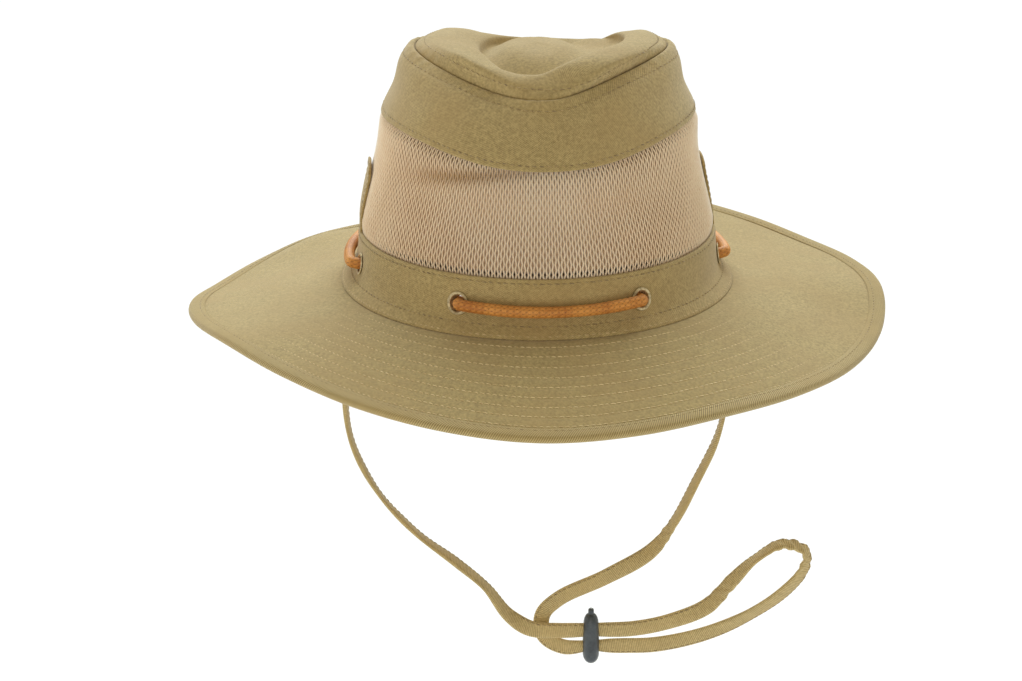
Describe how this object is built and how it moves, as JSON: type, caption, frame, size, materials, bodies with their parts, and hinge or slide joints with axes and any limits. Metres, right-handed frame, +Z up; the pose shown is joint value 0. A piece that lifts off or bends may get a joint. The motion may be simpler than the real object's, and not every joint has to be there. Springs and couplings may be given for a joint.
{
  "type": "outback hat",
  "caption": "Wide-brimmed outback hat: pinched twill crown with a mesh panel, stitched and bound brim, laced hatband cord through eyelets, side tabs and a chin strap with a slide.",
  "frame": {"origin": "middle of the head opening, level with the hem of the crown band, where the hat sits on a head", "axes": "+Z up through the crown, -Y towards the front of the hat, +X towards the wearer's left"},
  "size_m": [0.339, 0.3748, 0.3182],
  "materials": {
    "twill": "matte cotton twill, khaki",
    "binding_tape": "matte cotton tape with diagonal ribs, khaki",
    "knit_mesh": "matte open knit, dusty beige",
    "braided_cord": "waxed braid, orange brown",
    "eyelet_brass": "antique brass, dulled",
    "strap_twill": "matte cotton twill, khaki",
    "slide_plastic": "smooth dark slate plastic"
  },
  "bodies": {
    "root": {"brim": "twill", "brim_binding": "binding_tape", "crown_band": "twill", "mesh_panel": "knit_mesh", "crown_side": "twill", "crown_tip": "twill", "side_tab_left": "twill", "side_tab_right": "twill", "hatband_cord": "braided_cord", "eyelet_1": "eyelet_brass", "eyelet_2": "eyelet_brass", "eyelet_3": "eyelet_brass", "eyelet_4": "eyelet_brass", "eyelet_5": "eyelet_brass", "eyelet_6": "eyelet_brass", "eyelet_7": "eyelet_brass", "eyelet_8": "eyelet_brass", "chin_strap": "strap_twill", "strap_slide": "slide_plastic"}
  },
  "joints": []
}
